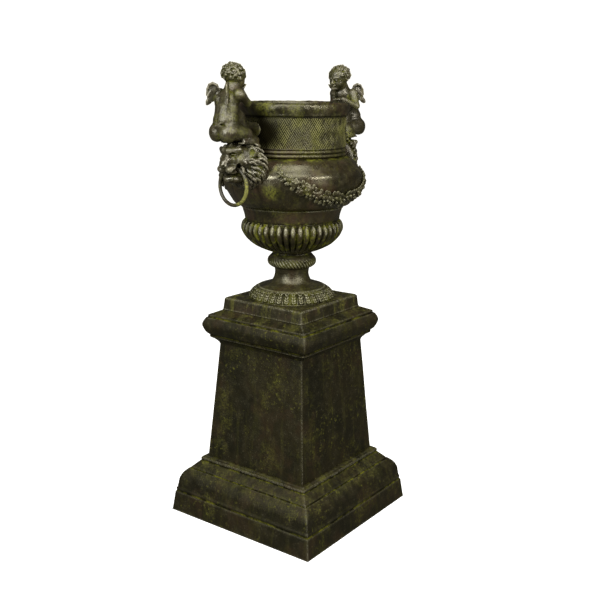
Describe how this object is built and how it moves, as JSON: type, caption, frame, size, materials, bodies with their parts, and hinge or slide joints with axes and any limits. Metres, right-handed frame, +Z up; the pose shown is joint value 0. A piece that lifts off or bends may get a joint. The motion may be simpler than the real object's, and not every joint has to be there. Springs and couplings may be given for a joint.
{
  "type": "garden urn on a pedestal",
  "caption": "Footed cast-iron urn on a moulded square pedestal, with cherub figures and lion masks as handles, swinging rings, garlands and an open planting bowl.",
  "frame": {"origin": "centre of the pedestal's underside, on the ground", "axes": "+Z up along the urn's axis; the pedestal's sides face +X, -X, +Y and -Y; the handles lie near +X and -X, turned 4.9 degrees clockwise seen from above; -Y is the front"},
  "size_m": [0.5751, 0.5, 1.2808],
  "materials": {
    "pedestal_iron": "weathered dark brown iron with yellow-green moss on the ledges",
    "urn_iron": "weathered satin iron with moss in the ornament",
    "figure_iron": "weathered satin iron",
    "ring_iron": "rough iron, mossy on its lower half",
    "bracket_iron": "plain rusted iron",
    "fastener_steel": "rusted steel"
  },
  "bodies": {
    "urn": {"plinth_moulding": "pedestal_iron", "shaft_panel_front": "pedestal_iron", "shaft_panel_right": "pedestal_iron", "shaft_panel_back": "pedestal_iron", "shaft_panel_left": "pedestal_iron", "corner_cleat_1": "bracket_iron", "corner_cleat_2": "bracket_iron", "corner_cleat_3": "bracket_iron", "corner_cleat_4": "bracket_iron", "cleat_bolt_1": "fastener_steel", "cleat_bolt_2": "fastener_steel", "cleat_bolt_3": "fastener_steel", "cleat_bolt_4": "fastener_steel", "cleat_bolt_5": "fastener_steel", "cleat_bolt_6": "fastener_steel", "cleat_bolt_7": "fastener_steel", "cleat_bolt_8": "fastener_steel", "cornice": "pedestal_iron", "foot_slab": "pedestal_iron", "leaf_foot": "urn_iron", "knop": "urn_iron", "gadroon_cup": "urn_iron", "belly": "urn_iron", "neck": "urn_iron", "tie_rod": "fastener_steel", "tie_rod_top_washer": "fastener_steel", "tie_rod_top_nut": "fastener_steel", "anchor_bar": "bracket_iron", "tie_rod_bottom_washer": "fastener_steel", "tie_rod_bottom_nut": "fastener_steel", "cup_flange_bolt_1": "fastener_steel", "cup_flange_bolt_2": "fastener_steel", "cup_flange_bolt_3": "fastener_steel", "cup_flange_bolt_4": "fastener_steel", "neck_flange_bolt_1": "fastener_steel", "neck_flange_bolt_2": "fastener_steel", "neck_flange_bolt_3": "fastener_steel", "neck_flange_bolt_4": "fastener_steel", "lion_mask_left": "figure_iron", "lion_mask_right": "figure_iron", "cherub_left": "figure_iron", "cherub_right": "figure_iron", "mask_bolt_left_1": "fastener_steel", "mask_bolt_left_2": "fastener_steel", "cherub_bolt_left_1": "fastener_steel", "cherub_bolt_left_2": "fastener_steel", "mask_bolt_right_1": "fastener_steel", "mask_bolt_right_2": "fastener_steel", "cherub_bolt_right_1": "fastener_steel", "cherub_bolt_right_2": "fastener_steel", "garland_front": "figure_iron", "garland_back": "figure_iron", "garland_screw_front_1": "fastener_steel", "garland_screw_front_2": "fastener_steel", "garland_screw_back_1": "fastener_steel", "garland_screw_back_2": "fastener_steel"},
    "ring_left": {"ring_left": "ring_iron"},
    "ring_right": {"ring_right": "ring_iron"}
  },
  "joints": [
    {"name": "ring_left_swing", "type": "hinge", "parent": "urn", "child": "ring_left", "pos_m": [-0.22717, 0.01948, 1.018], "axis": [0.0854, 0.9963, 0], "range_deg": [-8, 120]},
    {"name": "ring_right_swing", "type": "hinge", "parent": "urn", "child": "ring_right", "pos_m": [0.22717, -0.01948, 1.018], "axis": [-0.0854, -0.9963, 0], "range_deg": [-8, 120]}
  ]
}
